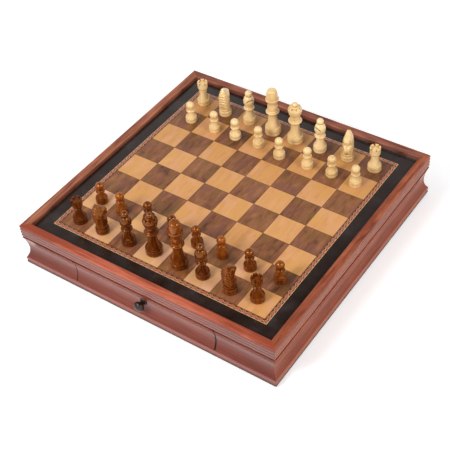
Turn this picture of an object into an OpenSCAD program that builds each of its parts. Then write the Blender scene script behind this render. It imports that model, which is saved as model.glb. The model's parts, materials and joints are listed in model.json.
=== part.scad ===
// Chess box: an inlaid board on a moulded cherry case with a drawer at each
// player's side, and its thirty-two turned chessmen.
// Millimetres, +Z up. The origin is the middle of the case, on the floor.
// The dark army and the front drawer are at -Y.

/* [Board] */
// Side of one playing square
square_w = 38; // [34:0.5:44]
// Width of the mosaic inlay round the squares
inlay_w = 6.3; // [4:0.1:10]
// Width of the black border outside the inlay
border_w = 19; // [14:0.5:28]
// Thickness of the veneer squares, inlay and border
veneer_t = 1.5; // [0.8:0.1:2.4]
// Joint left between neighbouring veneers
veneer_joint = 0.1; // [0.05:0.05:0.3]
// Thickness of the board's core
core_t = 8; // [5:0.5:9]
// Clearance round the board inside the rim
board_fit = 0.2; // [0.1:0.05:0.4]

/* [Case] */
// Height of the case from the floor to the top of the rim
case_h = 67; // [64:0.5:80]
// Width of the rim round the board
rim_w = 11; // [9:0.5:16]
// Height of the rim above the playing surface
rim_rise = 6.4; // [4:0.2:8]
// Chamfer on the rim's inner edge
rim_chamfer = 1.4; // [0.5:0.1:2]
// Ledge inside the rails that carries the board
ledge_w = 6; // [5:0.5:10]
// Thickness of the felt pads under the case
pad_t = 1.2; // [0.8:0.1:2]
// Diameter of the felt pads
pad_d = 13; // [8:0.5:15]

/* [Moulding] */
// Number of reeds under the rim
reed_count = 4; // [3:1:5]
// Height of one reed
reed_h = 4.6; // [4.2:0.1:5.2]
// How far a reed stands out between its edges
reed_rise = 0.7; // [0.3:0.05:1]
// Height of the quirk between the reeds and the cove
quirk_h = 2.2; // [1.5:0.1:3]
// Depth of that quirk behind the reeds
quirk_d = 1.6; // [1:0.1:2.5]
// Depth of the cove
cove_d = 4.3; // [2.5:0.1:5.5]
// Height of the cove's deepest line above the base
cove_low_h = 14.4; // [10:0.2:18]
// Number of beads on the base
base_bead_count = 2; // [1:1:2]
// Height of one base bead
base_bead_h = 5.4; // [5.2:0.1:6]
// How far a base bead bulges
base_bead_rise = 0.9; // [0.4:0.1:1.2]
// Projection of the base beyond the rim
base_out = 1; // [0.5:0.1:2]

/* [Inside] */
// Thickness of the bottom panel
panel_t = 4; // [3:0.2:5]
// Depth of the groove that holds the bottom panel
panel_groove_d = 4; // [3:0.5:4.5]
// Thickness of the partition between the drawer bays
partition_t = 12; // [8:1:20]
// Width and height of a drawer guide
guide_w = 12; // [8:1:18]
guide_h = 16; // [8:1:24]
// Legs of the glue blocks in the corners
block_leg = 28; // [16:1:34]

/* [Drawers] */
// Width of a drawer front
drawer_w = 208; // [170:1:230]
// Gap at each side of a drawer front
front_gap = 1.1; // [0.4:0.1:1.2]
// Gap over a drawer front
top_gap = 0.6; // [0.4:0.1:1.2]
// Running clearance under and beside a drawer
run_gap = 0.3; // [0.2:0.05:0.5]
// Thickness of a drawer front behind the rim line
front_t = 12; // [10:0.5:14]
// How far the drawer's box is set in from the ends of its front
box_inset = 1; // [0.5:0.5:3]
// Thickness of the drawer's sides and back
board_t = 7; // [5:0.5:9]
// Height of the drawer's sides
box_h = 30; // [22:0.5:32]
// Thickness of the drawer's bottom
ply_t = 3; // [2:0.2:4]
// Depth of the groove round the drawer's bottom
ply_groove_d = 3; // [2:0.2:4]
// Lip of the sides below the drawer's bottom
ply_lip = 2; // [1.5:0.1:3]
// Thickness of the felt lining
felt_t = 1; // [0.6:0.1:1.6]
// Gap between the drawer's back and the partition
back_gap = 3; // [1:0.5:6]

/* [Knobs] */
// Diameter of the knob's head
knob_d = 14; // [11:0.5:18]
// Distance from the drawer front to the end of the knob
knob_l = 14; // [12:0.5:18]
// Diameter of the knob's flange
flange_d = 10.4; // [8:0.2:12]
// Thickness of the flange
flange_t = 1.6; // [1:0.1:2.4]
// Rise of the knob's domed face
crown_h = 0.7; // [0.4:0.1:1.2]
// Diameter of the knob's neck
neck_d = 5.6; // [5:0.1:7]
// Height of the knob above the cove's deepest line
knob_up = 4.6; // [-2:0.2:5]
// Diameter of the knob's screw
screw_d = 3.4; // [3:0.1:3.8]
// Diameter and height of the screw's head
screw_head_d = 7; // [6:0.2:8]
screw_head_h = 2.2; // [1.6:0.1:2.6]
// Depth that the screw runs into the knob
screw_in = 8; // [6:0.5:9]

/* [Chessmen] */
// Heights of the men
king_h = 71.5; // [64:0.5:80]
queen_h = 64; // [58:0.5:72]
bishop_h = 52.3; // [46:0.5:60]
knight_h = 44; // [40:0.5:52]
rook_h = 36.5; // [32:0.5:44]
pawn_h = 31.6; // [28:0.2:38]
// Diameters of their bases
king_d = 22.6; // [20:0.5:28]
queen_d = 22.6; // [20:0.5:28]
bishop_d = 18.6; // [16:0.5:24]
knight_d = 18.2; // [16:0.5:24]
rook_d = 18.8; // [16:0.5:24]
pawn_d = 16.6; // [14:0.2:22]
// Height of the foot ring under each man
foot_h = 4.2; // [3:0.1:5]
// Height of the foot ring under a king and a queen
royal_foot_h = 4.8; // [3.5:0.1:6]
// Height of the groove over the foot ring
foot_step = 0.7; // [0.3:0.1:1]
// Depth of the recess for the felt under each man
felt_recess = 0.8; // [0.4:0.1:1.2]
// Wall left round that recess
felt_wall = 1.6; // [1:0.1:2.5]
// Width of the saw cuts in the rooks
crenel_w = 2.2; // [1.8:0.1:3]
// Depth of the saw cuts in the rooks
crenel_d = 2.4; // [1.8:0.1:3.4]
// Width of the slot in a bishop
mitre_w = 1.1; // [0.8:0.1:1.6]
// Depth of the notches in a queen's coronet
coronet_d = 2.4; // [1.5:0.1:3]
// Number of points on a queen's coronet
coronet_points = 8; // [6:1:10]

/* [Hidden] */
$fn = 48;
// How far shapes that are joined or cut run into each other
lap = 0.3;

board_half = 4 * square_w + inlay_w + border_w;
field_half = 4 * square_w;
inlay_half = field_half + inlay_w;
rim_half = board_half + rim_w;
base_half = rim_half + base_out;
rail_in = board_half - ledge_w;

board_top = case_h - rim_rise;
core_top = board_top - veneer_t;
core_bottom = core_top - core_t;
base_top = pad_t + base_bead_count * base_bead_h;
quirk_top = case_h - reed_count * reed_h;
cove_top = quirk_top - quirk_h;
cove_low = base_top + cove_low_h;
panel_bottom = base_top - panel_t;

window_half = drawer_w / 2 + front_gap;
drawer_back_half = rim_half - front_t;
box_half = drawer_w / 2 - box_inset;
box_bottom = base_top + run_gap;
box_top = box_bottom + box_h;
box_end = partition_t / 2 + back_gap;
ply_bottom = box_bottom + ply_lip;
ply_top = ply_bottom + ply_t;
guide_in = box_half + run_gap;
knob_z = cove_low + knob_up;
knob_seat = rim_half - cove_d;
screw_fit = 0.05;

// One step of the distances by which the men stand off their squares' middles
stray = square_w / 40;

// Each man: name, kind, file from the left, rank from the front, how many steps
// it stands off its square's middle along X and Y, and its turn in degrees.
MEN = [
    ["dark_rook_left", "rook", 0, 0, 1, -4, 20],
    ["dark_knight_left", "knight", 1, 0, -1, -4, -45],
    ["dark_bishop_left", "bishop", 2, 0, 2, -3, 70],
    ["dark_queen", "queen", 3, 0, 0, 1, 0],
    ["dark_king", "king", 4, 0, 1, -1, 0],
    ["dark_bishop_right", "bishop", 5, 0, -3, -1, 200],
    ["dark_knight_right", "knight", 6, 0, 0, -4, -15],
    ["dark_rook_right", "rook", 7, 0, -4, 2, 50],
    ["dark_pawn_1", "pawn", 0, 1, 2, 0, 0],
    ["dark_pawn_2", "pawn", 1, 1, -2, -2, 0],
    ["dark_pawn_3", "pawn", 2, 1, 0, 3, 0],
    ["dark_pawn_4", "pawn", 3, 1, 2, -1, 0],
    ["dark_pawn_5", "pawn", 4, 1, 0, -1, 0],
    ["dark_pawn_6", "pawn", 5, 1, -2, 0, 0],
    ["dark_pawn_7", "pawn", 6, 1, 0, 0, 0],
    ["dark_pawn_8", "pawn", 7, 1, 3, 2, 0],
    ["light_rook_left", "rook", 0, 7, -3, 5, 35],
    ["light_knight_left", "knight", 1, 7, -1, 0, 12],
    ["light_bishop_left", "bishop", 2, 7, 0, 2, 330],
    ["light_king", "king", 3, 7, 2, -1, 0],
    ["light_queen", "queen", 4, 7, -1, -1, 0],
    ["light_bishop_right", "bishop", 5, 7, -1, -1, 250],
    ["light_knight_right", "knight", 6, 7, 1, 2, 198],
    ["light_rook_right", "rook", 7, 7, 3, 1, 10],
    ["light_pawn_1", "pawn", 0, 6, 5, 2, 0],
    ["light_pawn_2", "pawn", 1, 6, 7, 1, 0],
    ["light_pawn_3", "pawn", 2, 6, 2, 2, 0],
    ["light_pawn_4", "pawn", 3, 6, 0, 4, 0],
    ["light_pawn_5", "pawn", 4, 6, -2, -2, 0],
    ["light_pawn_6", "pawn", 5, 6, 2, 0, 0],
    ["light_pawn_7", "pawn", 6, 6, -1, 2, 0],
    ["light_pawn_8", "pawn", 7, 6, -4, 1, 0],
];

cherry = [0.60, 0.32, 0.25];
raw_wood = [0.80, 0.68, 0.50];
black = [0.12, 0.11, 0.11];
inlay_red = [0.70, 0.42, 0.36];
maple = [0.86, 0.67, 0.44];
walnut = [0.47, 0.33, 0.27];
green_felt = [0.10, 0.28, 0.17];
bronze = [0.20, 0.16, 0.14];
boxwood = [0.91, 0.79, 0.58];
brown_wood = [0.38, 0.18, 0.07];

// ---- the case's moulded rails ----

// Radius of an arc whose chord is c and whose height is s
function arc_r(c, s) = (c * c / 4 + s * s) / (2 * s);

// A row of beads of height h up the outer face, the highest standing at x
module bead_row(x, z, count, h, rise) {
    r = arc_r(h, rise);
    for (k = [0 : count - 1])
        translate([x - r, z + (k + 0.5) * h])
            intersection() {
                circle(r);
                translate([0, -h / 2]) square([r + 1, h]);
            }
}

// Section of a rail: x runs outwards from the board's edge, y is the height
module rail_section() {
    low_r = (cove_low_h * cove_low_h + cove_d * cove_d) / (2 * cove_d);
    high_h = cove_top - cove_low;
    high_r = (high_h * high_h + cove_d * cove_d) / (2 * cove_d);
    difference() {
        union() {
            translate([-ledge_w, pad_t])
                square([rim_w + ledge_w - base_bead_rise, core_bottom - pad_t]);
            translate([0, pad_t])
                square([rim_w + base_out - base_bead_rise, base_top - pad_t]);
            translate([0, base_top]) square([rim_w, cove_top - base_top]);
            translate([0, cove_top - lap])
                square([rim_w - reed_rise, case_h - cove_top + lap]);
            bead_row(rim_w, quirk_top, reed_count, reed_h, reed_rise);
            bead_row(rim_w + base_out, pad_t, base_bead_count, base_bead_h, base_bead_rise);
        }
        // the cove, as two arcs that meet at its deepest line
        translate([rim_w - cove_d + high_r, cove_low])
            intersection() {
                circle(high_r);
                translate([-high_r - 1, 0]) square([high_r, high_h]);
            }
        translate([rim_w - cove_d + low_r, cove_low])
            intersection() {
                circle(low_r);
                translate([-low_r - 1, -cove_low_h]) square([low_r, cove_low_h]);
            }
        // the quirk under the reeds
        translate([rim_w - quirk_d, cove_top]) square([quirk_d + 1, quirk_h]);
        // the groove for the bottom panel
        translate([-ledge_w - 1, panel_bottom]) square([panel_groove_d + 1, panel_t]);
        // the chamfer on the rim's inner edge
        translate([0, case_h]) polygon([[-1, 1], [-1, -rim_chamfer - 1], [rim_chamfer + 1, 1]]);
    }
}

// A rail at +X, mitred at both ends
module rail_blank() {
    intersection() {
        translate([board_half, base_half + 1, 0])
            rotate([90, 0, 0]) linear_extrude(2 * base_half + 2) rail_section();
        linear_extrude(case_h + 1)
            polygon([[rail_in - 1, 1 - rail_in], [base_half + 1, -base_half - 1],
                     [base_half + 1, base_half + 1], [rail_in - 1, rail_in - 1]]);
    }
}

// The part of the rail at -Y between two heights, over the width of a drawer
module window_block(half_w, low, high) {
    translate([-half_w, -base_half - 2, low])
        cube([2 * half_w, base_half + 2 - rail_in + 1, high - low]);
}

module end_rail() {
    color(cherry) difference() {
        rotate([0, 0, -90]) rail_blank();
        window_block(window_half, base_top, cove_top);
    }
}

module front_rail() { end_rail(); }

module rear_rail() { rotate([0, 0, 180]) end_rail(); }

module right_rail() { color(cherry) rail_blank(); }

module left_rail() { rotate([0, 0, 180]) right_rail(); }

// ---- inside the case ----

module bottom_panel() {
    half = rail_in + panel_groove_d - board_fit;
    color(raw_wood) translate([-half, -half, panel_bottom]) cube([2 * half, 2 * half, panel_t]);
}

module centre_partition() {
    color(raw_wood) translate([-rail_in, -partition_t / 2, base_top])
        cube([2 * rail_in, partition_t, core_bottom - base_top]);
}

module drawer_guides() {
    run = rail_in - partition_t / 2;
    color(raw_wood) for (sx = [0, 1], sy = [0, 1])
        mirror([sx, 0, 0]) mirror([0, sy, 0])
            translate([guide_in, partition_t / 2, base_top]) cube([guide_w, run, guide_h]);
}

module corner_blocks() {
    color(raw_wood) for (turn = [0 : 90 : 270])
        rotate([0, 0, turn]) translate([rail_in, rail_in, base_top])
            linear_extrude(core_bottom - base_top)
                polygon([[0, 0], [-block_leg, 0], [0, -block_leg]]);
}

module foot_pads() {
    reach = (rail_in + base_half) / 2;
    color(green_felt) for (turn = [0 : 90 : 270])
        rotate([0, 0, turn]) translate([reach, reach, 0]) cylinder(d = pad_d, h = pad_t);
}

// ---- the board ----

module board_core() {
    half = board_half - board_fit;
    color(raw_wood) translate([-half, -half, core_bottom]) cube([2 * half, 2 * half, core_t]);
}

// Four mitred veneer strips between two squares
module veneer_frame(inner, outer) {
    for (turn = [0 : 90 : 270])
        rotate([0, 0, turn]) translate([0, 0, core_top]) linear_extrude(veneer_t)
            polygon([[inner, veneer_joint - inner], [outer, veneer_joint - outer],
                     [outer, outer - veneer_joint], [inner, inner - veneer_joint]]);
}

module black_border() {
    color(black) veneer_frame(inlay_half + veneer_joint / 2, board_half - board_fit);
}

module inlay_band() {
    color(inlay_red) veneer_frame(field_half + veneer_joint / 2, inlay_half - veneer_joint / 2);
}

// The squares of one colour: shade 0 holds the one at the front left
module squares(shade) {
    side = square_w - veneer_joint;
    for (i = [0 : 7], j = [0 : 7])
        if ((i + j) % 2 == shade)
            translate([(i - 4) * square_w + veneer_joint / 2,
                       (j - 4) * square_w + veneer_joint / 2, core_top])
                cube([side, side, veneer_t]);
}

module dark_squares() { color(walnut) squares(0); }

module light_squares() { color(maple) squares(1); }

// ---- the drawers, drawn at the front ----

// Everything about the screw is on the knob's axis, pointing out of the case
module on_knob_axis() {
    translate([0, -knob_seat, knob_z]) rotate([90, 0, 0]) children();
}

// Depth of the drawer front behind the knob's seat
function seat_depth() = front_t - cove_d;

module drawer_face() {
    color(cherry) difference() {
        intersection() {
            rotate([0, 0, -90]) rail_blank();
            window_block(drawer_w / 2, box_bottom, cove_top - top_gap);
            translate([-drawer_w, -base_half - 1, 0])
                cube([2 * drawer_w, base_half + 1 - drawer_back_half, case_h]);
        }
        on_knob_axis() {
            cylinder(d = flange_d + 0.2, h = cove_d);
            translate([0, 0, -seat_depth() - 1])
                cylinder(d = screw_d + 2 * screw_fit, h = seat_depth() + 2);
            translate([0, 0, -seat_depth() - 1])
                cylinder(d = screw_head_d + 0.4, h = screw_head_h + 1.2);
        }
        // the groove for the drawer's bottom
        translate([-box_half + board_t - ply_groove_d, -drawer_back_half - ply_groove_d, ply_bottom])
            cube([2 * (box_half - board_t + ply_groove_d), ply_groove_d + 1, ply_t]);
    }
}

module drawer_sides() {
    run = drawer_back_half - box_end;
    color(raw_wood) for (side = [0, 1])
        mirror([side, 0, 0]) difference() {
            translate([box_half - board_t, -drawer_back_half, box_bottom]) cube([board_t, run, box_h]);
            translate([box_half - board_t - 1, -drawer_back_half - 1, ply_bottom])
                cube([ply_groove_d + 1, run + 2, ply_t]);
        }
}

module drawer_back() {
    half = box_half - board_t;
    color(raw_wood) translate([-half, -box_end - board_t, ply_top])
        cube([2 * half, board_t, box_top - ply_top]);
}

module drawer_bottom() {
    half = box_half - board_t + ply_groove_d - 0.1;
    reach = drawer_back_half + ply_groove_d - 0.1;
    color(raw_wood) translate([-half, -reach, ply_bottom]) cube([2 * half, reach - box_end, ply_t]);
}

module drawer_lining() {
    half = box_half - board_t - run_gap;
    run = drawer_back_half - box_end - board_t - 2 * run_gap;
    color(green_felt) translate([-half, run_gap - drawer_back_half, ply_top]) cube([2 * half, run, felt_t]);
}

// The knob's outline: x is the radius, y the distance from its seat
module knob_outline() {
    edge_r = (knob_l - flange_t) * 0.31;
    edge_y = knob_l - edge_r - crown_h;
    under_y = edge_y - edge_r;
    waist_r = (knob_d - neck_d) / 2;
    dome_r = arc_r(knob_d - 2 * edge_r, crown_h);
    intersection() {
        union() {
            square([(flange_d - flange_t) / 2, flange_t]);
            translate([(flange_d - flange_t) / 2, flange_t / 2]) circle(d = flange_t);
            difference() {
                square([(knob_d - edge_r) / 2, edge_y]);
                translate([neck_d / 2 + waist_r, (flange_t + under_y) / 2]) circle(waist_r);
                translate([(flange_d - flange_t) / 2, flange_t]) square([knob_d, under_y - flange_t]);
            }
            translate([knob_d / 2 - edge_r, edge_y]) circle(edge_r);
            square([knob_d / 2 - edge_r, edge_y + edge_r - lap / 3]);
            translate([0, knob_l - dome_r]) intersection() {
                circle(dome_r);
                translate([0, dome_r - 2 * crown_h]) square([knob_d / 2 - edge_r + lap, 3 * crown_h]);
            }
        }
        square([knob_d, knob_l + 1]);
    }
}

module drawer_knob() {
    color(bronze) on_knob_axis() difference() {
        rotate_extrude() knob_outline();
        translate([0, 0, -1]) cylinder(d = screw_d + 2 * screw_fit, h = screw_in + 1.3);
    }
}

module knob_screw() {
    color("silver") on_knob_axis() {
        translate([0, 0, -seat_depth()]) cylinder(d = screw_head_d, h = screw_head_h);
        translate([0, 0, -seat_depth()]) cylinder(d = screw_d, h = seat_depth() + screw_in);
    }
}

module at_rear() { rotate([0, 0, 180]) children(); }

// ---- the chessmen, each standing on z = 0 ----

// Centre of the arc through a and b that leaves their chord by s: side 1
// bulges away from the axis, side -1 hollows towards it
function chord(a, b) = norm(b - a);
function inward(a, b) = [a[1] - b[1], b[0] - a[0]] / chord(a, b);
function arc_centre(a, b, s, side) = (a + b) / 2 + side * inward(a, b) * (arc_r(chord(a, b), s) - s);

module taper(a, b) { polygon([[0, a[1]], a, b, [0, b[1]]]); }

// From a up to b with a convex edge
module swell(a, b, s) {
    taper(a - [lap, 0], b - [lap, 0]);
    intersection() {
        translate(arc_centre(a, b, s, 1)) circle(arc_r(chord(a, b), s));
        translate([0, a[1]]) square([a[0] + b[0] + s, b[1] - a[1]]);
    }
}

// From a up to b with a hollow edge
module flare(a, b, s) {
    difference() {
        taper(a + [lap, 0], b + [lap, 0]);
        translate(arc_centre(a, b, s, -1)) circle(arc_r(chord(a, b), s));
    }
}

// A collar of radius r at height z, which springs from a stem of radius stem
// at height low: a broad bead, and a narrower one over it
module collar(stem, low, r, z, t) {
    flare([stem, low], [0.88 * r, z], (z - low) * 0.15);
    swell([0.92 * r, z], [0.92 * r, z + t], 0.08 * r);
    swell([0.84 * r, z + t], [0.8 * r, z + 1.6 * t], 0.03 * r);
    taper([0.76 * r, z + 1.6 * t], [stem, z + 2 * t]);
}

// A foot ring of height foot, a groove, and over it a wider ring up to drum
module plinth(r, foot, drum_r, drum) {
    swell([0.91 * r, 0], [0.93 * r, foot], 0.05 * r);
    square([0.8 * r, foot + foot_step]);
    swell([0.95 * r, foot + foot_step], [drum_r, drum], 0.04 * r);
}

// Turns the outline round the vertical and recesses the felt beneath it
module turned(r) {
    difference() {
        rotate_extrude() intersection() {
            union() children();
            square([2 * r, 20 * r]);
        }
        translate([0, 0, -1]) cylinder(r = 0.9 * r - felt_wall, h = felt_recess + 1);
    }
}

module pawn(h = pawn_h, r = pawn_d / 2) {
    turned(r) {
        plinth(r, foot_h, 0.87 * r, 0.28 * h);
        flare([0.74 * r, 0.28 * h], [0.5 * r, 0.5 * h], 0.05 * r);
        collar(0.48 * r, 0.5 * h, 0.71 * r, 0.55 * h, 0.19 * r);
        translate([0, 0.82 * h]) circle(0.178 * h);
        taper([0.54 * r, 0.6 * h], [0.54 * r, 0.7 * h]);
    }
}

module rook(h = rook_h, r = rook_d / 2) {
    difference() {
        turned(r) {
            plinth(r, foot_h, 0.88 * r, 0.26 * h);
            flare([0.76 * r, 0.26 * h], [0.49 * r, 0.61 * h], 0.06 * r);
            swell([0.54 * r, 0.61 * h], [0.54 * r, 0.65 * h], 0.04 * r);
            taper([0.5 * r, 0.64 * h], [0.5 * r, 0.68 * h]);
            swell([0.54 * r, 0.68 * h], [0.72 * r, 0.77 * h], 0.05 * r);
            taper([0.74 * r, 0.77 * h], [0.76 * r, h]);
        }
        translate([0, 0, h - crenel_d]) cylinder(r = 0.5 * r, h = crenel_d + 1);
        for (turn = [0, 60, 120])
            rotate([0, 0, turn]) translate([-r, -crenel_w / 2, h - crenel_d])
                cube([2 * r, crenel_w, crenel_d + 1]);
    }
}

module bishop(h = bishop_h, r = bishop_d / 2) {
    difference() {
        turned(r) {
            plinth(r, foot_h, 0.88 * r, 0.19 * h);
            flare([0.77 * r, 0.19 * h], [0.5 * r, 0.41 * h], 0.06 * r);
            collar(0.48 * r, 0.41 * h, 0.79 * r, 0.455 * h, 0.22 * r);
            swell([0.54 * r, 0.52 * h], [0.54 * r, 0.56 * h], 0.03 * r);
            swell([0.57 * r, 0.56 * h], [0.44 * r, 0.845 * h], 0.29 * r);
            translate([0, 0.91 * h]) circle(0.09 * h);
        }
        translate([0.34 * r, 0, 0.7 * h]) rotate([0, 35, 0])
            translate([0, -r, 0]) cube([mitre_w, 2 * r, 0.2 * h]);
    }
}

module queen(h = queen_h, r = queen_d / 2) {
    rim = 0.89 * h;
    difference() {
        turned(r) {
            plinth(r, royal_foot_h, 0.89 * r, 0.17 * h);
            flare([0.78 * r, 0.17 * h], [0.5 * r, 0.46 * h], 0.08 * r);
            collar(0.48 * r, 0.46 * h, 0.82 * r, 0.52 * h, 0.23 * r);
            swell([0.58 * r, 0.59 * h], [0.55 * r, 0.68 * h], 0.02 * r);
            swell([0.6 * r, 0.68 * h], [0.78 * r, 0.78 * h], 0.05 * r);
            swell([0.81 * r, 0.78 * h], [0.79 * r, 0.845 * h], 0.03 * r);
            taper([0.76 * r, 0.845 * h], [0.66 * r, rim]);
            swell([0.5 * r, rim - lap], [0.2 * r, 0.91 * h], 0.03 * r);
            translate([0, 0.938 * h]) circle(0.062 * h);
        }
        for (k = [0 : coronet_points - 1])
            rotate([90, 0, k * 360 / coronet_points]) translate([0, rim, 0.53 * r])
                linear_extrude(r) polygon([[0, -coronet_d], [coronet_d, coronet_d], [-coronet_d, coronet_d]]);
    }
}

module king(h = king_h, r = king_d / 2) {
    turned(r) {
        plinth(r, royal_foot_h, 0.89 * r, 0.18 * h);
        flare([0.78 * r, 0.18 * h], [0.49 * r, 0.425 * h], 0.05 * r);
        collar(0.47 * r, 0.425 * h, 0.81 * r, 0.485 * h, 0.25 * r);
        swell([0.6 * r, 0.55 * h], [0.57 * r, 0.67 * h], 0.02 * r);
        flare([0.55 * r, 0.67 * h], [0.77 * r, 0.765 * h], 0.05 * r);
        swell([0.79 * r, 0.765 * h], [0.78 * r, 0.81 * h], 0.03 * r);
        swell([0.7 * r, 0.81 * h], [0.6 * r, 0.95 * h], 0.03 * r);
        swell([0.58 * r, 0.95 * h], [0.3 * r, h], 0.1 * r);
    }
}

// Rounds the corners of a closed outline by cutting each one off
function cut_corners(p) = [
    for (i = [0 : len(p) - 1]) let (a = p[i], b = p[(i + 1) % len(p)])
        each [0.75 * a + 0.25 * b, 0.25 * a + 0.75 * b]
];

// Side view of the horse, facing +X, in shares of the base's radius and the
// knight's height
horse_side = [
    [-0.66, 0.24], [-0.74, 0.36], [-0.93, 0.52], [-0.99, 0.68], [-0.9, 0.83], [-0.66, 0.94],
    [-0.4, 1.045], [-0.08, 0.975], [0.42, 0.93], [0.82, 0.87], [1.08, 0.775], [1.04, 0.68],
    [0.66, 0.69], [0.4, 0.65], [0.44, 0.57], [0.86, 0.49], [0.94, 0.38], [0.66, 0.24]
];
// Front view of the horse: half its width at each height, in the same shares
horse_front = [[0.7, 0.24], [0.84, 0.4], [0.76, 0.6], [0.58, 0.78], [0.36, 0.93], [0.16, 1.06]];
// The horse from above: half its width from the mane to the muzzle
horse_top = [[-1.1, 0.2], [-0.84, 0.56], [-0.36, 0.84], [0.12, 0.84], [0.6, 0.52], [1.14, 0.26]];
// Where the locks of the mane part
mane_cuts = [[-0.98, 0.47], [-1.03, 0.565], [-1.05, 0.665], [-1, 0.765], [-0.84, 0.865]];

function sized(p, w, h) = [p[0] * w, p[1] * h];
// The points of one half of an outline and their mirror images below the axis
function both_sides(p) = concat(p, [for (k = [len(p) - 1 : -1 : 0]) [p[k][0], -p[k][1]]]);

module horse(h, r) {
    side_view = [for (p = horse_side) sized(p, r, h)];
    top_view = [for (p = horse_top) sized(p, r, r)];
    front_view = [for (p = horse_front) sized([p[1], p[0]], h, r)];
    difference() {
        intersection() {
            translate([0, r, 0]) rotate([90, 0, 0])
                linear_extrude(2 * r) polygon(cut_corners(cut_corners(side_view)));
            rotate([0, -90, 0]) translate([0, 0, -2 * r]) linear_extrude(4 * r) polygon(both_sides(front_view));
            linear_extrude(2 * h) polygon(cut_corners(both_sides(top_view)));
        }
        // the gap between the ears
        translate([-2 * r, 0, 1.01 * h]) rotate([45, 0, 0]) cube([3 * r, r, r]);
        for (cut = mane_cuts)
            translate([cut[0] * r, 0, cut[1] * h])
                rotate([90, 0, 0]) cylinder(r = 0.13 * r, h = 3 * r, center = true);
        // the mouth, eyes and nostrils
        translate([0.7 * r, -r, 0.725 * h]) rotate([0, 12, 0]) cube([r, 2 * r, 0.08 * r]);
        for (side = [0, 1]) mirror([0, side, 0]) {
            translate([0.24 * r, 0.36 * r, 0.84 * h]) rotate([-90, 0, -12]) cylinder(r = 0.09 * r, h = r);
            translate([0.88 * r, 0.22 * r, 0.775 * h]) rotate([-90, 0, -24]) cylinder(r = 0.055 * r, h = r);
        }
    }
}

module knight(h = knight_h, r = knight_d / 2) {
    turned(r) {
        plinth(r, foot_h, 0.88 * r, 0.19 * h);
        swell([0.78 * r, 0.19 * h], [0.78 * r, 0.26 * h], 0.05 * r);
    }
    rotate([0, 0, 90]) horse(h, r);
}

// One man on its square
module man(kind, file, rank, dx, dy, turn) {
    translate([(file - 3.5) * square_w + dx * stray, (rank - 3.5) * square_w + dy * stray, board_top])
        rotate([0, 0, turn]) {
            if (kind == "king") king();
            if (kind == "queen") queen();
            if (kind == "bishop") bishop();
            if (kind == "knight") knight();
            if (kind == "rook") rook();
            if (kind == "pawn") pawn();
        }
}

front_rail();
rear_rail();
left_rail();
right_rail();
bottom_panel();
centre_partition();
drawer_guides();
corner_blocks();
foot_pads();
board_core();
black_border();
inlay_band();
light_squares();
dark_squares();
drawer_face();  // front_drawer_face
drawer_sides();  // front_drawer_sides
drawer_back();  // front_drawer_back
drawer_bottom();  // front_drawer_bottom
drawer_lining();  // front_drawer_lining
drawer_knob();  // front_drawer_knob
knob_screw();  // front_knob_screw
at_rear() drawer_face();  // rear_drawer_face
at_rear() drawer_sides();  // rear_drawer_sides
at_rear() drawer_back();  // rear_drawer_back
at_rear() drawer_bottom();  // rear_drawer_bottom
at_rear() drawer_lining();  // rear_drawer_lining
at_rear() drawer_knob();  // rear_drawer_knob
at_rear() knob_screw();  // rear_knob_screw
for (m = MEN)
    color(m[3] < 4 ? brown_wood : boxwood) man(m[1], m[2], m[3], m[4], m[5], m[6]);
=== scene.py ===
import json
import math

import bmesh
import bpy
from mathutils import Matrix, Vector


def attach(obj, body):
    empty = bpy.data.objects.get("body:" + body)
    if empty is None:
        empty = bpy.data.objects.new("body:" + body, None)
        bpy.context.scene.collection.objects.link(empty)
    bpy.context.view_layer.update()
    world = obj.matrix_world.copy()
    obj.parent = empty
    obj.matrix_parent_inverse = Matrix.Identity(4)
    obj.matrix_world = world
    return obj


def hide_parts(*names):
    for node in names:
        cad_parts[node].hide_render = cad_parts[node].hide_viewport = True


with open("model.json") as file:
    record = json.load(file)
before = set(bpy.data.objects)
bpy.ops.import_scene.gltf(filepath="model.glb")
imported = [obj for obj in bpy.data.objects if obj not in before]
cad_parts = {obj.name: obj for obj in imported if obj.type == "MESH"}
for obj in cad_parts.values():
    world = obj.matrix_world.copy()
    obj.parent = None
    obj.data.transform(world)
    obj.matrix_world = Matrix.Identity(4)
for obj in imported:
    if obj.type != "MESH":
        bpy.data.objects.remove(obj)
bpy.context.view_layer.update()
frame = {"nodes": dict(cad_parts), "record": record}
scene = bpy.context.scene


class Wire:
    # one socket of a material; arithmetic on it adds Math nodes
    def __init__(self, mixer, socket):
        self.mixer = mixer
        self.socket = socket

    def math(self, operation, *others):
        inputs = dict(enumerate((self,) + others))
        return self.mixer.add("ShaderNodeMath", {"operation": operation}, inputs)

    def reflected(self, operation, first):
        return self.mixer.add("ShaderNodeMath", {"operation": operation}, {0: first, 1: self})

    def __add__(self, other):
        return self.math("ADD", other)

    def __mul__(self, other):
        return self.math("MULTIPLY", other)

    def __sub__(self, other):
        return self.math("SUBTRACT", other)

    def __truediv__(self, other):
        return self.math("DIVIDE", other)

    def __rsub__(self, other):
        return self.reflected("SUBTRACT", other)

    def __rtruediv__(self, other):
        return self.reflected("DIVIDE", other)

    __radd__ = __add__
    __rmul__ = __mul__

    def above(self, level):
        return self.math("GREATER_THAN", level)

    def below(self, level):
        return self.math("LESS_THAN", level)

    def orLarger(self, other):
        return self.math("MAXIMUM", other)

    def size(self):
        return self.math("ABSOLUTE")

    def clamped(self):
        return self.mixer.add("ShaderNodeClamp", {}, {"Value": self})

    def eased(self, low, high):
        # 0 at low, 1 at high, with a soft start and end
        inputs = {"Value": self, "From Min": low, "From Max": high}
        return self.mixer.add("ShaderNodeMapRange", {"interpolation_type": "SMOOTHSTEP"}, inputs)


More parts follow.
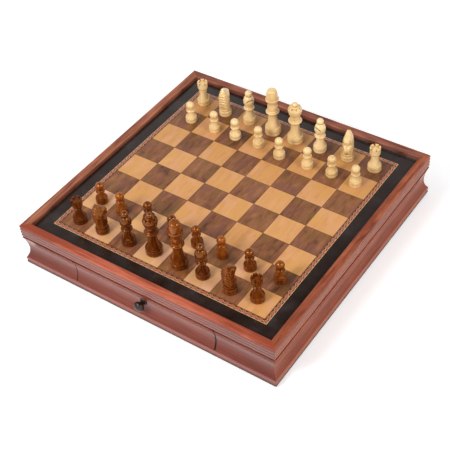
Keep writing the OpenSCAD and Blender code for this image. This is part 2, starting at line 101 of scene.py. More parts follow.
class Mixer:
    # adds nodes to one tree, a finish's or the world's
    def __init__(self, owner):
        owner.use_nodes = True
        self.owner = owner
        self.tree = owner.node_tree

    def add(self, kind, settings=None, inputs=None, output=0):
        node = self.tree.nodes.new(kind)
        for key, value in (settings or {}).items():
            if key == "stops":
                self.setStops(node.color_ramp, value)
            else:
                setattr(node, key, value)
        for key, value in (inputs or {}).items():
            self.feed(node.inputs[key], value)
        return Wire(self, node.outputs[output])

    def setStops(self, ramp, stops):
        for stop in stops[2:]:  # a new ramp has two
            ramp.elements.new(stop[0])
        for element, (place, colour) in zip(ramp.elements, stops):
            element.position = place
            element.color = (*colour, 1)

    def feed(self, socket, value):
        if isinstance(value, Wire):
            self.tree.links.new(value.socket, socket)
        elif isinstance(value, tuple) and socket.type == "RGBA":
            socket.default_value = (*value, 1)
        else:
            socket.default_value = value

    def surface(self, **values):
        # spelled like the shader's sockets, with _ for a blank
        for key, value in values.items():
            self.feed(self.tree.nodes["Principled BSDF"].inputs[key.replace("_", " ")], value)
        return self.owner

    def place(self, scale=(1, 1, 1)):
        # the point in metres, squeezed along an axis where the pattern runs long
        point = self.add("ShaderNodeTexCoord", output="Object")
        return self.add("ShaderNodeMapping", {}, {"Vector": point, "Scale": scale})

    def axes(self, vector):
        split = self.tree.nodes.new("ShaderNodeSeparateXYZ")
        self.feed(split.inputs[0], vector)
        return [Wire(self, socket) for socket in split.outputs]

    def join(self, x, y, z):
        return self.add("ShaderNodeCombineXYZ", {}, {0: x, 1: y, 2: z})

    def noise(self, vector, scale, detail, rough, bend=0.0):
        inputs = {"Vector": vector, "Scale": scale, "Detail": detail, "Roughness": rough, "Distortion": bend}
        return self.add("ShaderNodeTexNoise", {}, inputs)

    def ramp(self, value, *stops):
        return self.add("ShaderNodeValToRGB", {"stops": stops}, {0: value})

    def blend(self, mask, first, second, how="MIX"):
        # colours only; mask runs from first to second
        sockets = {"mask": 0, "first": 6, "second": 7, "result": 2}  # where a Mix node keeps its colours
        node = self.tree.nodes.new("ShaderNodeMix")
        node.data_type = "RGBA"
        node.blend_type = how
        for key, value in (("mask", mask), ("first", first), ("second", second)):
            self.feed(node.inputs[sockets[key]], value)
        return Wire(self, node.outputs[sockets["result"]])

    def seenRays(self):
        # the rays that show the surroundings: straight, mirrored and through glass
        path = self.tree.nodes.new("ShaderNodeLightPath")
        rays = ("Is Camera Ray", "Is Glossy Ray", "Is Transmission Ray")
        return [Wire(self, path.outputs[ray]) for ray in rays]

    def openness(self, reach):
        # 1 on open surfaces, less in creases and grooves; it masks the painted shade there
        settings = {"only_local": True, "samples": 8}
        return self.add("ShaderNodeAmbientOcclusion", settings, {"Distance": reach}, output="AO")

    def bump(self, height, distance, strength):
        return self.add("ShaderNodeBump", {}, {"Height": height, "Distance": distance, "Strength": strength})


def newFinish(name):
    return Mixer(bpy.data.materials.new(name))


def boardGrain(mixer, along, fine, bend):
    # stretched noise: figure for the broad streaks, pores for the fine ones
    look = {"squeeze": 0.07, "broad": 0.16}
    stretch = tuple(look["squeeze"] if axis == along else 1 for axis in "xyz")
    place = mixer.place(stretch)
    figure = mixer.noise(place, fine * look["broad"], detail=4, rough=0.55, bend=bend)
    pores = mixer.noise(place, fine, detail=5, rough=0.65)
    return figure, pores


def cherry(name, look):
    # red stain over cherry: cloudy bands and fine pores along the rail; the mouldings under the rim carry
    # painted light and shade for the way each side faces the lamps, and more lacquer; the foot of the cove
    # gets painted shade, a thin strip at the drawer's end painted shade for the gap, and the lowest edge a
    # painted contact shadow;
    # heights and places are in metres, and a pair says from where to where something changes
    stainAndShade = {
        "rim": (0.061, 0.065), "reeds": 0.047, "cove": (0.016, 0.044), "base": 0.0119,
        "lowest": (0.0040, 0.0054), "darkEnds": (0.05, 0.18), "drawerEnd": 0.1045, "endReach": 0.0013,
        "fine": 900, "bend": 1.4, "cloud": (22, 22, 60), "figureShare": 0.85, "cloudShare": 0.35,
        "poreShare": 0.3, "shift": 0.25, "contrast": 1.35, "sideCalm": 0.35, "reedTint": (0.84, 0.78, 0.70),
        "paintedCoveShade": (0.72, 0.60, 0.58), "paintedGapShade": (0.3, 0.25, 0.25), "paintedBottomShadow": (0.12, 0.08, 0.08),
        "coveFootDull": 0.8, "rimSheen": 0.06}
    mixer = newFinish(name)
    figure, pores = boardGrain(mixer, look["along"], stainAndShade["fine"], stainAndShade["bend"])
    cloud = mixer.noise(mixer.place(stainAndShade["cloud"]), 1.0, detail=3, rough=0.6)
    x, z = mixer.axes(mixer.place())[::2]
    darkEnd = x.size().eased(*stainAndShade["darkEnds"]) * look["darkEnd"]
    side = 1 - z.eased(*stainAndShade["rim"])
    tone = figure * stainAndShade["figureShare"] + cloud * stainAndShade["cloudShare"] + pores * stainAndShade["poreShare"]
    tone = tone - stainAndShade["shift"] - darkEnd
    contrast = stainAndShade["contrast"] - side * (stainAndShade["sideCalm"] + look["calm"])
    tone = ((tone - 0.5) * contrast + 0.5).clamped()
    wood = mixer.ramp(tone, (0.3, look["deep"]), (0.5, look["mid"]), (0.72, look["bright"]))
    # painted shade: darker towards the foot of the cove, above the base; the lacquer is duller there too
    paintedCoveShade = (1 - z.eased(*stainAndShade["cove"])) * z.above(stainAndShade["base"])
    # painted light and shade on the side faces under the rim, one colour for each side
    wood = mixer.blend(side, wood, look["paintedSideLight"], "MULTIPLY")
    wood = mixer.blend(side * z.above(stainAndShade["reeds"]), wood, stainAndShade["reedTint"], "MULTIPLY")
    wood = mixer.blend(paintedCoveShade, wood, stainAndShade["paintedCoveShade"], "MULTIPLY")
    # painted shade for the gap at the end of the drawer face
    drawerEnd = (x - stainAndShade["drawerEnd"]).size().below(stainAndShade["endReach"])
    drawerEnd = drawerEnd * z.above(stainAndShade["base"]) * z.below(stainAndShade["reeds"])
    wood = mixer.blend(drawerEnd * look["paintedGapShade"], wood, stainAndShade["paintedGapShade"], "MULTIPLY")
    # painted contact shadow along the lowest edge; the lacquer stops there too
    paintedBottomShadow = 1 - z.eased(*stainAndShade["lowest"])
    wood = mixer.blend(paintedBottomShadow, wood, stainAndShade["paintedBottomShadow"], "MULTIPLY")
    lacquer = side * look["sheen"] * (1 - paintedCoveShade * stainAndShade["coveFootDull"]) * (1 - paintedBottomShadow) + stainAndShade["rimSheen"]
    return mixer.surface(Base_Color=wood, Roughness=pores * 0.14 + 0.4, Specular_IOR_Level=0.15,
                         Coat_Weight=lacquer, Coat_Roughness=0.16, Coat_IOR=1.65,
                         Normal=mixer.bump(pores, distance=0.0001, strength=0.3))


# the four sides were cut from boards of slightly different colour; the colour that multiplies each side's
# faces under the rim is painted light and shade
cherryBoards = {
    "cherryFront": {"along": "x", "deep": (0.27, 0.052, 0.024), "mid": (0.41, 0.094, 0.050),
                    "bright": (0.53, 0.142, 0.076), "paintedSideLight": (0.62, 0.58, 0.58), "sheen": 0.8,
                    "darkEnd": 0.2, "calm": 0.4, "paintedGapShade": 1.0},
    "cherryRear": {"along": "x", "deep": (0.13, 0.036, 0.021), "mid": (0.25, 0.078, 0.046),
                   "bright": (0.37, 0.13, 0.078), "paintedSideLight": (0.95, 0.95, 0.95), "sheen": 0.5,
                   "darkEnd": 0, "calm": 0.3, "paintedGapShade": 0.6},
    "cherryLeft": {"along": "y", "deep": (0.17, 0.048, 0.026), "mid": (0.31, 0.102, 0.056),
                   "bright": (0.45, 0.165, 0.088), "paintedSideLight": (0.9, 0.9, 0.9), "sheen": 0.6,
                   "darkEnd": 0, "calm": 0.3, "paintedGapShade": 0},
    "cherryRight": {"along": "y", "deep": (0.16, 0.032, 0.014), "mid": (0.28, 0.070, 0.032),
                    "bright": (0.41, 0.125, 0.056), "paintedSideLight": (1.16, 1.10, 0.94), "sheen": 0.45,
                    "darkEnd": 0, "calm": 0.4, "paintedGapShade": 0}}


def squareField(mixer, pitch):
    # place on the board in metres, a random number for each square, and the distance to its edge
    x, y = mixer.axes(mixer.place())[:2]
    column = (x / pitch).math("FLOOR")
    row = (y / pitch).math("FLOOR")
    square = {"Vector": mixer.join(column, row, 0)}
    chance = mixer.add("ShaderNodeTexWhiteNoise", {"noise_dimensions": "2D"}, square)
    inX = (x / pitch - column - 0.5).size()
    inY = (y / pitch - row - 0.5).size()
    edge = (0.5 - inX.orLarger(inY)) * pitch
    return x, y, chance, edge


def veneer(name, look):
    # squares of veneer: streaks run along the files, and no two squares are cut alike; the ranks under the
    # brown army get painted light except at the right, and those at the far side get painted shade
    cut = {"pitch": 0.038, "streakShift": 3.0, "cloudShift": 7.0, "castShift": 5.0, "castStart": 2.0,
           "cloudStretch": 0.5, "cloudBend": 0.8, "castStretch": 0.6, "poreStretch": 0.08, "poreShare": 0.16,
           "coolFade": (0.5, 0.68), "warmFade": (0.5, 0.34), "rightFade": (0.07, 0.13),
           "farFade": (0.03, 0.15), "lineStrength": 0.6}
    mixer = newFinish(name)
    x, y, chance, edge = squareField(mixer, cut["pitch"])
    spot = mixer.join(x, y * look["stretch"], chance * cut["streakShift"])
    streak = mixer.noise(spot, look["streaks"], detail=4, rough=0.6, bend=look["bend"])
    spot = mixer.join(x, y * cut["cloudStretch"], chance * cut["cloudShift"])
    cloud = mixer.noise(spot, look["clouds"], detail=3, rough=0.6, bend=cut["cloudBend"])
    spot = mixer.join(x, y * cut["castStretch"], chance * cut["castShift"] + cut["castStart"])
    cast = mixer.noise(spot, look["clouds"], detail=2, rough=0.5)
    spot = mixer.join(x, y * cut["poreStretch"], chance)
    pores = mixer.noise(spot, look["pores"], detail=4, rough=0.7)
    tone = streak * look["streakShare"] + cloud * look["cloudShare"] + pores * cut["poreShare"]
    tone = (tone + chance * look["variety"] + look["base"]).clamped()
    wood = mixer.ramp(tone, (0.3, look["dark"]), (0.5, look["mid"]), (0.7, look["light"]))
    wood = mixer.blend(cast.eased(*cut["coolFade"]) * look["castShare"], wood, look["cool"])
    wood = mixer.blend(cast.eased(*cut["warmFade"]) * look["castShare"], wood, look["warm"])
    # painted light: the front ranks are lighter and bluer, except at the right
    paintedFrontLight = y.below(look["nearTo"]) * (1 - x.eased(*cut["rightFade"]))
    wood = mixer.blend(paintedFrontLight, wood, look["paintedFrontLightTint"], "MULTIPLY")
    # painted shade: the far ranks are darker
    wood = mixer.blend(y.eased(*cut["farFade"]), wood, look["paintedFarShade"], "MULTIPLY")
    line = 1 - ((edge - look["lineWidth"] * 0.5) / look["lineWidth"]).clamped()
    wood = mixer.blend(line * cut["lineStrength"], wood, look["line"])
    return mixer.surface(Base_Color=wood, Roughness=pores * 0.12 + 0.24, Specular_IOR_Level=0.35,
                         Coat_Weight=0.12, Coat_Roughness=0.08,
                         Normal=mixer.bump(pores, distance=0.00006, strength=0.25))


def maple():
    return veneer("maple", {
        "streaks": 160, "clouds": 70, "pores": 900, "bend": 0.8, "stretch": 0.12, "streakShare": 0.45,
        "cloudShare": 0.3, "variety": 0.1, "base": -0.005, "dark": (0.505, 0.222, 0.070),
        "mid": (0.63, 0.30, 0.107), "light": (0.705, 0.37, 0.147), "cool": (0.67, 0.335, 0.165),
        "warm": (0.63, 0.315, 0.086), "castShare": 0.6, "line": (0.17, 0.08, 0.025), "lineWidth": 0.0004,
        "nearTo": -0.076, "paintedFrontLightTint": (1.08, 1.18, 1.55), "paintedFarShade": (0.80, 0.79, 0.72)})


def walnut():
    return veneer("walnut", {
        "streaks": 150, "clouds": 62, "pores": 700, "bend": 1.2, "stretch": 0.16, "streakShare": 0.7,
        "cloudShare": 0.7, "variety": 0.1, "base": -0.33, "dark": (0.092, 0.030, 0.013),
        "mid": (0.235, 0.086, 0.033), "light": (0.33, 0.137, 0.060), "cool": (0.20, 0.073, 0.048),
        "warm": (0.20, 0.094, 0.027), "castShare": 0.7, "line": (0.06, 0.022, 0.01), "lineWidth": 0.0006,
        "nearTo": -0.114, "paintedFrontLightTint": (1.08, 1.06, 0.95), "paintedFarShade": (0.84, 0.82, 0.72)})


def blackVeneer():
    # black dyed veneer under gloss lacquer, a little cloudy
    look = {"cloud": (30, 30, 30), "pores": 1100, "deep": (0.013, 0.006, 0.004),
            "mid": (0.022, 0.012, 0.009), "cloudy": (0.034, 0.025, 0.026)}
    mixer = newFinish("black_veneer")
    cloud = mixer.noise(mixer.place(look["cloud"]), 1.0, detail=4, rough=0.6)
    pores = mixer.noise(mixer.place(), look["pores"], detail=2, rough=0.6)
    wood = mixer.ramp(cloud, (0.35, look["deep"]), (0.55, look["mid"]), (0.7, look["cloudy"]))
    return mixer.surface(Base_Color=wood, Roughness=cloud * 0.12 + 0.12, Specular_IOR_Level=0.4,
                         Normal=mixer.bump(pores, distance=0.00003, strength=0.2))


def mosaic():
    # a band of red diamonds on cream with black points between, a cream line outside and a brown one inside;
    # the last row gives how far from a diamond's middle each part begins or ends, and where the lines are
    look = {"inner": 0.152, "width": 0.0063, "period": 0.0076, "squat": 2.6, "grain": 1500, "graining": 0.15,
            "red": (0.33, 0.05, 0.028), "cream": (0.62, 0.345, 0.165), "black": (0.03, 0.012, 0.008),
            "rose": (0.44, 0.16, 0.09), "brown": (0.10, 0.04, 0.015),
            "diamond": 0.9, "heart": 0.4, "points": 1.12, "brownLine": 0.16, "creamLine": 0.86}
    mixer = newFinish("mosaic")
    x, y = mixer.axes(mixer.place())[:2]
    onSide = x.size().above(y.size())
    across = (x.size().orLarger(y.size()) - look["inner"]) / look["width"]
    along = (x * (1 - onSide) + y * onSide) / look["period"]
    toward = ((along.math("FRACT") - 0.5) * 2).size()
    off = ((across - 0.5) * look["squat"]).size()
    outward = toward + off
    grain = mixer.noise(mixer.place(), look["grain"], detail=2, rough=0.6)
    pattern = mixer.blend(outward.below(look["diamond"]), look["cream"], look["red"])
    pattern = mixer.blend(outward.below(look["heart"]), pattern, look["rose"])
    pattern = mixer.blend(outward.above(look["points"]), pattern, look["black"])
    pattern = mixer.blend(across.below(look["brownLine"]), pattern, look["brown"])
    pattern = mixer.blend(across.above(look["creamLine"]), pattern, look["cream"])
    pattern = mixer.blend(grain * look["graining"], pattern, look["rose"])
    return mixer.surface(Base_Color=pattern, Roughness=grain * 0.1 + 0.22, Coat_Weight=0.3,
                         Coat_Roughness=0.1, Normal=mixer.bump(grain, distance=0.00004, strength=0.2))


def turnedWood(name, look):
    # long streaks run up the sides, creases get painted shade, and each man has a tone of its own
    turning = {"streakSqueeze": (1, 1, 0.12), "bend": 0.6, "pores": 2600, "poreSqueeze": (1, 1, 0.2),
               "pieces": (27, 27, 4), "streakShare": 0.6, "poreShare": 0.15}
    mixer = newFinish(name)
    streak = mixer.noise(mixer.place(turning["streakSqueeze"]), look["streak"], detail=4, rough=0.6,
                         bend=turning["bend"])
    pores = mixer.noise(mixer.place(turning["poreSqueeze"]), turning["pores"], detail=3, rough=0.6)
    piece = mixer.noise(mixer.place(turning["pieces"]), 1.0, detail=1, rough=0.4)
    tone = streak * turning["streakShare"] + pores * turning["poreShare"] + piece * look["variety"]
    tone = (tone + look["base"]).clamped()
    wood = mixer.ramp(tone, (0.25, look["dark"]), (0.5, look["mid"]), (0.8, look["light"]))
    # painted shade in the creases, by how open the surface is
    wood = mixer.blend(1 - mixer.openness(look["reach"]), wood, look["paintedCreaseShade"], "MULTIPLY")
    return mixer.surface(Base_Color=wood, Roughness=pores * 0.06 + look["rough"],
                         Specular_IOR_Level=look["shine"], Specular_Tint=look["tint"],
                         Coat_Weight=look["coat"], Coat_Roughness=0.05, Coat_IOR=1.5,
                         Normal=mixer.bump(pores, distance=0.00005, strength=0.25))


def boxwood():
    return turnedWood("boxwood", {
        "streak": 170, "variety": 0.6, "base": -0.18, "dark": (0.66, 0.41, 0.16), "mid": (0.86, 0.61, 0.29),
        "light": (0.96, 0.75, 0.43), "paintedCreaseShade": (0.66, 0.47, 0.30), "reach": 0.004, "rough": 0.26,
        "shine": 0.5, "tint": (1.0, 0.85, 0.6), "coat": 0.5})


def brownWood(name, base):
    return turnedWood(name, {
        "streak": 190, "variety": 0.3, "base": base, "dark": (0.040, 0.006, 0.001),
        "mid": (0.14, 0.027, 0.002), "light": (0.42, 0.105, 0.010), "paintedCreaseShade": (0.15, 0.08, 0.05),
        "reach": 0.005, "rough": 0.12, "shine": 1.0, "tint": (1.0, 0.45, 0.12), "coat": 0.12})


def plainWood(along):
    # unstained wood inside the case and the drawers
    look = {"fine": 600, "bend": 1.0, "figureShare": 0.7, "poreShare": 0.3, "dark": (0.44, 0.27, 0.13),
            "mid": (0.62, 0.43, 0.24), "light": (0.70, 0.52, 0.31)}
    mixer = newFinish("plain_wood_" + along)
    figure, pores = boardGrain(mixer, along, look["fine"], look["bend"])
    tone = figure * look["figureShare"] + pores * look["poreShare"]
    wood = mixer.ramp(tone, (0.3, look["dark"]), (0.6, look["mid"]), (0.8, look["light"]))
    return mixer.surface(Base_Color=wood, Roughness=pores * 0.2 + 0.5,
                         Normal=mixer.bump(pores, distance=0.00012, strength=0.4))


def greenFelt():
    look = {"shade": (0.028, 0.115, 0.055), "depth": 0.55, "fibres": 1800, "fibreShare": 0.6,
            "lumps": 160, "lumpShare": 0.4}
    mixer = newFinish("green_felt")
    fibre = mixer.noise(mixer.place(), look["fibres"], detail=4, rough=0.7)
    lump = mixer.noise(mixer.place(), look["lumps"], detail=3, rough=0.6)
    dark = tuple(look["depth"] * part for part in look["shade"])
    tone = fibre * look["fibreShare"] + lump * look["lumpShare"]
    cloth = mixer.ramp(tone, (0.3, dark), (0.7, look["shade"]))
    return mixer.surface(Base_Color=cloth, Roughness=0.95, Sheen_Weight=0.4, Sheen_Roughness=0.5,
                         Normal=mixer.bump(fibre, distance=0.0003, strength=0.8))


def bronze():
    # oiled bronze, almost black, rubbed a little browner in patches
    look = {"patches": 260, "dark": (0.028, 0.022, 0.02), "rubbed": (0.09, 0.06, 0.045)}
    mixer = newFinish("bronze")
    rub = mixer.noise(mixer.place(), look["patches"], detail=3, rough=0.6)
    metal = mixer.ramp(rub, (0.35, look["dark"]), (0.75, look["rubbed"]))
    return mixer.surface(Base_Color=metal, Metallic=0.85, Roughness=rub * 0.15 + 0.26,
                         Normal=mixer.bump(rub, distance=0.00003, strength=0.2))


def steel():
    # the knobs' screws, brushed
    look = {"brush": 2200, "squeeze": (1, 0.1, 1), "dark": (0.42, 0.42, 0.43), "light": (0.62, 0.62, 0.62)}
    mixer = newFinish("steel")
    brush = mixer.noise(mixer.place(look["squeeze"]), look["brush"], detail=3, rough=0.6)
    metal = mixer.ramp(brush, (0.3, look["dark"]), (0.7, look["light"]))
    return mixer.surface(Base_Color=metal, Metallic=1.0, Roughness=brush * 0.2 + 0.25,
                         Normal=mixer.bump(brush, distance=0.00003, strength=0.2))


finishes = {
    "maple": maple(), "walnut": walnut(), "black": blackVeneer(), "mosaic": mosaic(), "light": boxwood(),
    "dark": brownWood("brown_wood", -0.03), "amber": brownWood("amber_wood", 0.06),
    "deep": brownWood("deep_wood", -0.08), "plainX": plainWood("x"), "plainY": plainWood("y"),
    "plainZ": plainWood("z"), "green": greenFelt(), "bronze": bronze(), "steel": steel()}
finishes.update({name: cherry(name, look) for name, look in cherryBoards.items()})
print("finishes:", len(finishes))


# the brown men were stained unevenly; those not named here are dark
brownShades = {"dark_pawn_1": "amber", "dark_pawn_2": "amber", "dark_pawn_6": "amber", "dark_pawn_8": "amber",
               "dark_bishop_left": "deep", "dark_bishop_right": "deep", "dark_rook_left": "deep",
               "dark_queen": "deep"}

nodeFinishes = {
    "light_squares": "maple", "dark_squares": "walnut", "black_border": "black", "inlay_band": "mosaic",
    "front_rail": "cherryFront", "rear_rail": "cherryRear", "left_rail": "cherryLeft",
    "right_rail": "cherryRight", "front_drawer_face": "cherryFront", "rear_drawer_face": "cherryRear",
    "bottom_panel": "plainX", "centre_partition": "plainX", "board_core": "plainX",
    "drawer_guides": "plainY", "corner_blocks": "plainZ", "foot_pads": "green"}

drawerFinishes = {
    "drawer_sides": "plainY", "drawer_back": "plainX", "drawer_bottom": "plainX",
    "drawer_lining": "green", "drawer_knob": "bronze", "knob_screw": "steel"}


def isMan(node):
    return node.startswith(("light_", "dark_")) and not node.endswith("_squares")


def finishOf(node):
    # the finish of a CAD node, by the piece that it is
    if node in nodeFinishes:
        return nodeFinishes[node]
    if isMan(node):
        return brownShades.get(node, node.split("_")[0])
    return next(finish for ending, finish in drawerFinishes.items() if node.endswith(ending))


for name, node in frame["nodes"].items():
    node.data.materials.clear()
    node.data.materials.append(finishes[finishOf(name)])


def bodyOf(node):
    bodies = frame["record"]["behaviour"]["bodies"]
    return next(body for body, members in bodies.items() if node in members)


creaseAngles = {"moulded": 32, "turned": 36, "carved": 40}  # in degrees; sharper edges stay sharp


def settle(shape, node, label):
    # turns a bmesh into a finished piece that stands for the node
    mesh = bpy.data.meshes.new(node + "_" + label)
    shape.to_mesh(mesh)
    shape.free()
    imported = mesh.attributes.get("custom_normal")  # a merged copy no longer fits the shading it came with
    if imported:
        mesh.attributes.remove(imported)
    mesh.polygons.foreach_set("use_smooth", [True] * len(mesh.polygons))
    mesh.set_sharp_from_angle(angle=math.radians(creaseAngles[label]))
    mesh.materials.append(finishes[finishOf(node)])
    piece = bpy.data.objects.new(node + "_" + label, mesh)
    scene.collection.objects.link(piece)
    shading = piece.modifiers.new("shading", "WEIGHTED_NORMAL")
    shading.keep_sharp = True
    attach(piece, bodyOf(node))
    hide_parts(node)
    return piece


def merged(node):
    # a closed copy of a CAD node's mesh
    shape = bmesh.new()
    shape.from_mesh(frame["nodes"][node].data)
    bmesh.ops.remove_doubles(shape, verts=shape.verts, dist=0.000002)
    return shape


def remeshed(shape, size):
    # one even skin of small squares over a closed shape
    mesh = bpy.data.meshes.new("skin")
    shape.to_mesh(mesh)
    shape.free()
    holder = bpy.data.objects.new("skin", mesh)
    scene.collection.objects.link(holder)
    skin = holder.modifiers.new("skin", "REMESH")
    skin.mode = "VOXEL"
    skin.voxel_size = size
    result = bmesh.new()
    result.from_object(holder, bpy.context.evaluated_depsgraph_get())
    bpy.data.objects.remove(holder)
    bpy.data.meshes.remove(mesh)
    return result


def smoothed(shape, factor):
    bmesh.ops.smooth_vert(shape, verts=shape.verts, factor=factor,
                          use_axis_x=True, use_axis_y=True, use_axis_z=True)


def softStep(value, low, high):
    share = min(max((value - low) / (high - low), 0.0), 1.0)
    return share * share * (3 - 2 * share)


def slab(shape, height, above):
    # the part of a closed shape above or below a height, closed again
    everything = shape.verts[:] + shape.edges[:] + shape.faces[:]
    bmesh.ops.bisect_plane(shape, geom=everything, dist=1e-7, plane_co=(0, 0, height), plane_no=(0, 0, 1),
                           clear_inner=above, clear_outer=not above)
    bmesh.ops.holes_fill(shape, edges=[edge for edge in shape.edges if edge.is_boundary], sides=0)
    return shape


# sizes, rises and cuts in metres; places on the horse as carvedPush says, and where a form fades, from and to
knightLook = {
    "height": 0.044, "radius": 0.0091, "parting": 0.262, "cutSlack": 0.00001, "sink": 0.0008,
    "footRing": 0.003, "skin": 0.00035, "rounding": 14, "roundingShare": 0.5, "finalShare": 0.4,
    "maneFront": -0.45, "maneSlant": 2.0, "maneBend": 0.62, "maneFade": (0.0, 0.16), "maneFoot": (0.30, 0.36),
    "maneRise": 0.00025, "lockStart": 0.468, "lockPitch": 0.0985, "lockSlope": 2.0, "lockDepth": 0.0009,
    "cheek": (0.12, 0.765), "cheekReach": (0.46, 0.105), "cheekFade": (0.7, 1.05), "cheekRise": 0.0006,
    "eye": (0.24, 0.84), "browRing": 0.0014, "browFade": (0.0002, 0.0008), "browFoot": (0.835, 0.86),
    "browRise": 0.0004, "nostril": (0.9, 0.775), "nostrilRing": 0.0009, "nostrilFade": (0.0002, 0.0009),
    "nostrilRise": 0.0003, "chestFront": (0.35, 0.6), "chestTop": (0.5, 0.6), "chestWidth": (0.03, 0.2),
    "chestCut": 0.0006, "neck": (0.0, 0.47), "neckReach": (0.32, 0.15), "neckFade": (0.3, 1.0),
    "neckHollow": 0.0005}


def carvedPush(look, x, y, z):
    # how far a point of the horse moves out; x runs from mane to muzzle and y to the side, in shares of the
    # base's radius, and z in shares of the height
    def inReaches(name):
        spot, reach = look[name], look[name + "Reach"]
        return math.hypot((x - spot[0]) / reach[0], (z - spot[1]) / reach[1])

    def offRing(name, ring):
        spot = look[name]
        return abs(math.hypot((x - spot[0]) * look["radius"], (z - spot[1]) * look["height"]) - look[ring])

    maneFront = look["maneFront"] + look["maneSlant"] * max(z - look["maneBend"], 0.0) ** 2
    inMane = softStep(maneFront - x, *look["maneFade"]) * softStep(z, *look["maneFoot"])
    phase = (z - look["lockStart"]) / look["lockPitch"] + look["lockSlope"] * (x + 1.0)
    groove = (1 - abs(math.sin(math.pi * phase))) ** 2
    push = inMane * (look["maneRise"] - look["lockDepth"] * groove)
    push += look["cheekRise"] * (1 - softStep(inReaches("cheek"), *look["cheekFade"]))
    brow = 1 - softStep(offRing("eye", "browRing"), *look["browFade"])
    push += look["browRise"] * brow * softStep(z, *look["browFoot"])
    push += look["nostrilRise"] * (1 - softStep(offRing("nostril", "nostrilRing"), *look["nostrilFade"]))
    chest = softStep(x, *look["chestFront"]) * (1 - softStep(z, *look["chestTop"]))
    push -= look["chestCut"] * chest * (1 - softStep(abs(y), *look["chestWidth"]))
    push -= look["neckHollow"] * (1 - softStep(inReaches("neck"), *look["neckFade"]))
    return push


def carveKnight(look, node, facing):
    # the horse is rounded from its solid, then mane, cheek, brow, nostrils, chest and neck are cut; the foot
    # stays turned
    radius, height = look["radius"], look["height"]
    foot = merged(node)
    base = min(vert.co.z for vert in foot.verts)
    ring = [vert.co for vert in foot.verts if vert.co.z < base + look["footRing"]]
    middle = [0.5 * (min(point[axis] for point in ring) + max(point[axis] for point in ring))
              for axis in (0, 1)]
    turn = Matrix.Rotation(-math.radians(facing), 4, "Z")
    bench = turn @ Matrix.Translation((-middle[0], -middle[1], -base))
    bmesh.ops.transform(foot, matrix=bench, verts=foot.verts)
    parting = look["parting"] * height
    horse = slab(foot.copy(), parting, True)
    for vert in horse.verts:
        if vert.co.z < parting + look["cutSlack"]:
            vert.co.z -= look["sink"]
    horse = remeshed(horse, look["skin"])
    for step in range(look["rounding"]):
        smoothed(horse, look["roundingShare"])
    horse.normal_update()
    moves = [carvedPush(look, vert.co.x / radius, vert.co.y / radius, vert.co.z / height)
             for vert in horse.verts]
    for vert, move in zip(horse.verts, moves):
        vert.co += vert.normal * move
    smoothed(horse, look["finalShare"])
    bmesh.ops.recalc_face_normals(horse, faces=horse.faces)
    slab(foot, parting, False)
    whole = bmesh.new()
    for part in (foot, horse):
        mesh = bpy.data.meshes.new("part")
        part.to_mesh(mesh)
        part.free()
        whole.from_mesh(mesh)
        bpy.data.meshes.remove(mesh)
    bmesh.ops.transform(whole, matrix=bench.inverted(), verts=whole.verts)
    return settle(whole, node, "carved")


moulded = [name for name in frame["nodes"] if name.endswith(("_rail", "drawer_face", "drawer_knob"))]
for name in moulded:
    settle(merged(name), name, "moulded")
turnedMen = [name for name in frame["nodes"] if isMan(name) and "knight" not in name]
for name in turnedMen:
    settle(merged(name), name, "turned")
print("moulded pieces:", len(moulded), "turned men:", len(turnedMen))

# which way each horse looks, in degrees from the right
knightsFacing = {"dark_knight_left": 45, "dark_knight_right": 75,
                 "light_knight_left": 102, "light_knight_right": 288}
for name, facing in knightsFacing.items():
    knight = carveKnight(knightLook, name, facing)
    print("carved", knight.name, len(knight.data.polygons), "faces")


def buildFloor():
    # pale, with the object's shadow, and a glow that only seen rays meet, which hides where it ends
    look = {"size": 12.0, "shade": (0.86, 0.86, 0.86), "lift": 0.34, "farLift": 0.52, "farFade": (0.7, 3.0)}
    shape = bmesh.new()
    bmesh.ops.create_grid(shape, x_segments=1, y_segments=1, size=look["size"] / 2)
    mesh = bpy.data.meshes.new("floor")
    shape.to_mesh(mesh)
    shape.free()
    floor = bpy.data.objects.new("floor", mesh)
    scene.collection.objects.link(floor)
    mixer = newFinish("pale_floor")
    mixer.surface(Base_Color=look["shade"], Roughness=0.9, Specular_IOR_Level=0.1)
    straight, glossy, through = mixer.seenRays()
    seen = straight.orLarger(glossy).orLarger(through)
    x, y = mixer.axes(mixer.place())[:2]
    away = (x * x + y * y).math("SQRT").eased(*look["farFade"])
    lift = seen * (away * look["farLift"] + look["lift"])
    glow = mixer.add("ShaderNodeEmission", {}, {"Color": (1.0, 1.0, 1.0), "Strength": lift})
    lit = Wire(mixer, mixer.tree.nodes["Principled BSDF"].outputs[0])
    both = mixer.add("ShaderNodeAddShader", {}, {0: lit, 1: glow})
    mixer.feed(mixer.tree.nodes["Material Output"].inputs["Surface"], both)
    mesh.materials.append(mixer.owner)


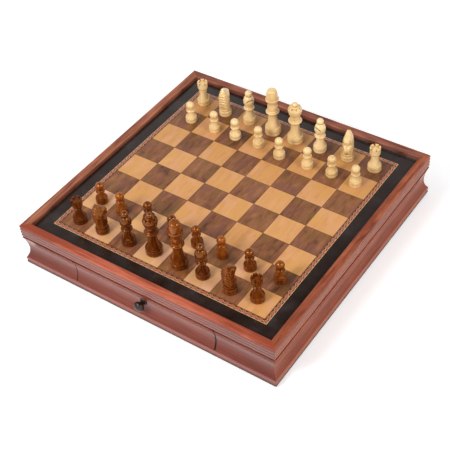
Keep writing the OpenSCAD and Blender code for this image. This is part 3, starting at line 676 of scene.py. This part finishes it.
def buildWorld():
    # an even fill for the light; straight views are white, and mirrors see it dim overhead
    look = {"fill": 0.42, "overhead": 0.05, "overheadFade": (0.52, 0.8)}
    world = bpy.data.worlds.new("studio")
    scene.world = world
    mixer = Mixer(world)
    height = mixer.axes(mixer.add("ShaderNodeTexCoord", output="Generated"))[2]
    mirrored = 1 - height.eased(*look["overheadFade"]) * (1 - look["overhead"])
    straight, glossy, through = mixer.seenRays()
    indirect = glossy.orLarger(through) * (1 - straight)
    rest = (1 - straight) * (1 - indirect)
    background = mixer.tree.nodes["Background"]
    mixer.feed(background.inputs["Color"], (1.0, 1.0, 1.0))
    mixer.feed(background.inputs["Strength"], straight + indirect * mirrored + rest * look["fill"])


# square softboxes that look at the middle of the board
lamps = {
    "left_lamp": {"toward": (-0.206, -0.732, 0.638), "distance": 1.7, "size": 0.5, "watts": 17},
    "right_lamp": {"toward": (0.816, -0.034, 0.564), "distance": 1.7, "size": 0.5, "watts": 12},
    "top_lamp": {"toward": (-0.45, -0.35, 1.0), "distance": 1.8, "size": 1.0, "watts": 5}}
boardMiddle = (0, 0, 0.07)


def aimed(spot, target):
    return (target - spot).to_track_quat("-Z", "Y")


def addLamp(name, look):
    aim = Vector(boardMiddle)
    lamp = bpy.data.lights.new(name, "AREA")
    lamp.size = look["size"]
    lamp.energy = look["watts"]
    holder = bpy.data.objects.new(name, lamp)
    holder.location = aim + Vector(look["toward"]).normalized() * look["distance"]
    holder.rotation_euler = aimed(holder.location, aim).to_euler()
    scene.collection.objects.link(holder)


def addCamera():
    look = {"eye": (0.5817, -0.7672, 0.9405), "aim": (0.0283, -0.0503, 0.0606), "roll": -4.744,
            "lens": 81.92, "sensor": 36}
    eye, aim = Vector(look["eye"]), Vector(look["aim"])
    camera = bpy.data.cameras.new("camera")
    camera.lens = look["lens"]
    camera.sensor_width = look["sensor"]
    holder = bpy.data.objects.new("camera", camera)
    turn = aimed(eye, aim).to_matrix() @ Matrix.Rotation(math.radians(look["roll"]), 3, "Z")
    holder.location = eye
    holder.rotation_euler = turn.to_euler()
    scene.collection.objects.link(holder)
    scene.camera = holder


addCamera()
buildFloor()
buildWorld()
for name, look in lamps.items():
    addLamp(name, look)
scene.view_settings.view_transform = "Standard"
print("stage, lamps and camera are set")
